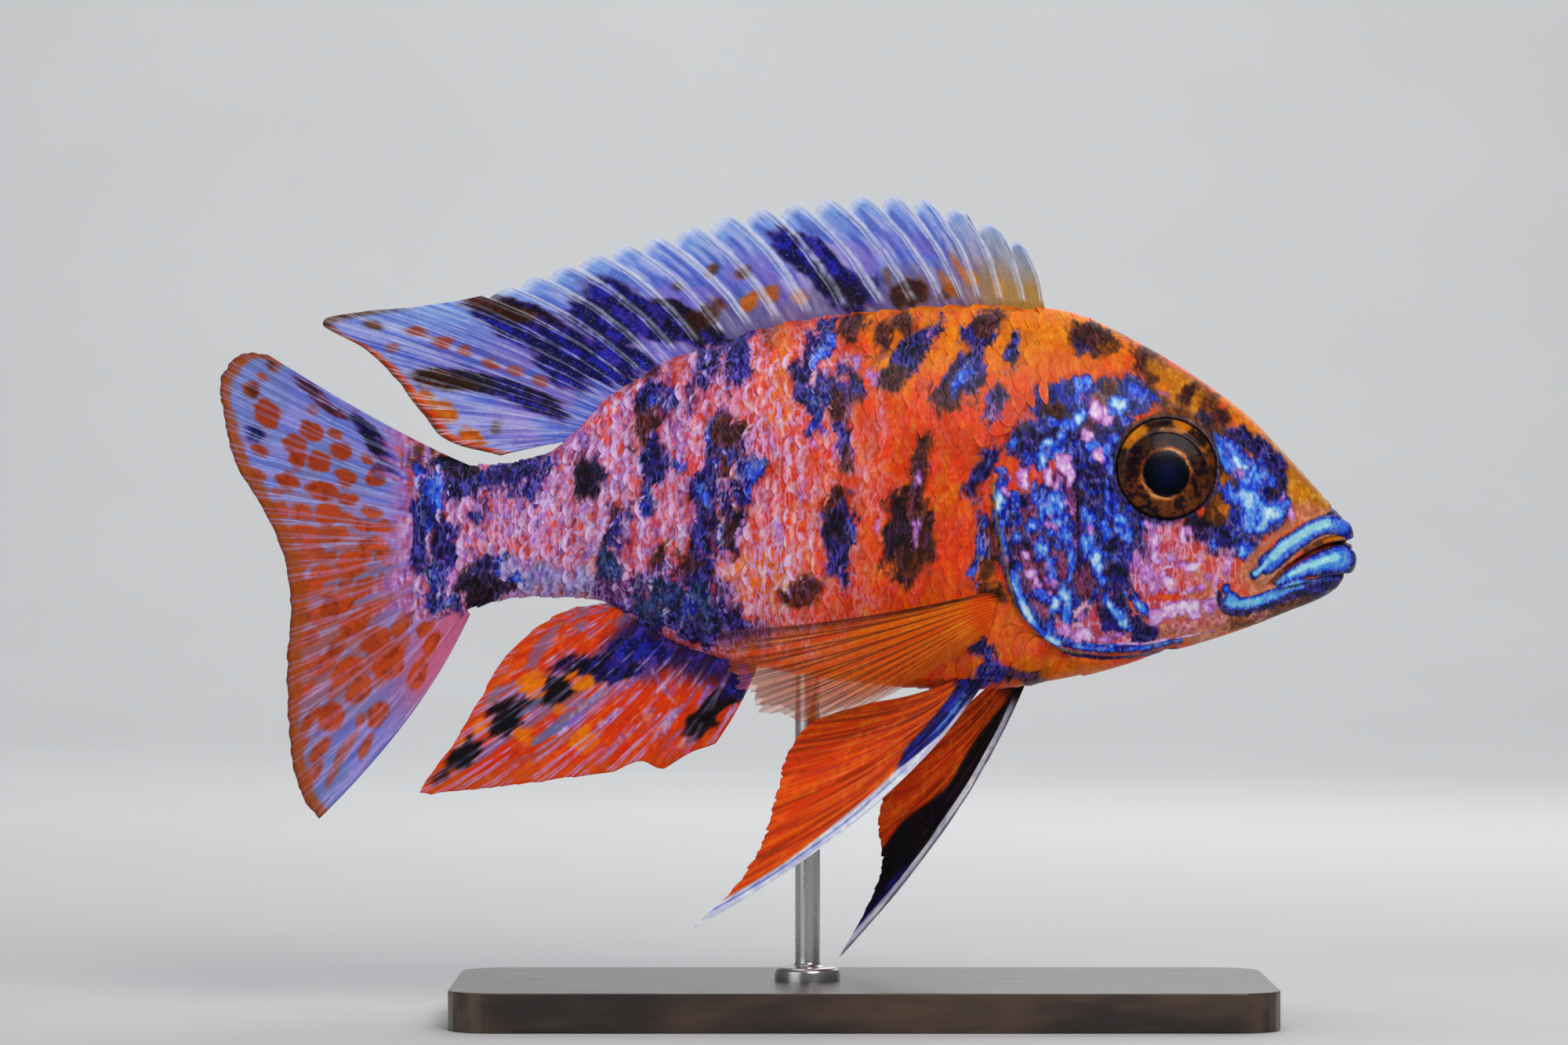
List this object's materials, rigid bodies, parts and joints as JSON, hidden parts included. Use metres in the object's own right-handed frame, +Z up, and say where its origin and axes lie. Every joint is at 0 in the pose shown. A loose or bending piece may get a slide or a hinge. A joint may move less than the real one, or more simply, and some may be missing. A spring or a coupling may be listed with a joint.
{
  "type": "peacock cichlid fish model on a display stand",
  "caption": "Life-size still model of a male orange-blotched peacock cichlid, fins spread, head to +X, held by a rod on a flat wooden base.",
  "frame": {"origin": "centre of the display base's flat underside, where the model rests", "axes": "+X from tail to head, along the fish and the base; +Y towards the fish's left side; +Z up"},
  "size_m": [0.1449, 0.046, 0.105],
  "materials": {
    "head_skin": "painted fish skin, dark blue with bright blue and orange patches, wet gloss",
    "lips": "painted fish skin, pale blue lips, wet gloss",
    "gill_skin": "painted fish skin, blue and pink mosaic, wet gloss",
    "body_skin": "painted fish scales, red-orange and lilac with dark blotches, satin gloss",
    "blue_fin": "thin ribbed fin, blue-violet with navy patches, satin",
    "tail_fin": "thin ribbed fin, lilac rays with orange-red spots, satin",
    "red_fin": "thin ribbed fin, red-orange with black bands, satin",
    "clear_fin": "thin translucent orange fin with dark rays",
    "eye": "glass eye, dark bronze iris with black pupil",
    "stand_wood": "dark stained hardwood, satin varnish",
    "stand_metal": "brushed steel rod with a turned collar"
  },
  "bodies": {
    "root": {"head": "head_skin", "upper_lip": "lips", "lower_jaw": "lips", "gill_cover_right": "gill_skin", "gill_cover_left": "gill_skin", "trunk": "body_skin", "tail_stalk": "body_skin", "dorsal_fin": "blue_fin", "caudal_fin": "tail_fin", "anal_fin": "red_fin", "pelvic_fin_right": "red_fin", "pelvic_fin_left": "red_fin", "pectoral_fin_right": "clear_fin", "pectoral_fin_left": "clear_fin", "eye_right": "eye", "eye_left": "eye", "stand_base": "stand_wood", "stand_rod": "stand_metal"}
  },
  "joints": []
}
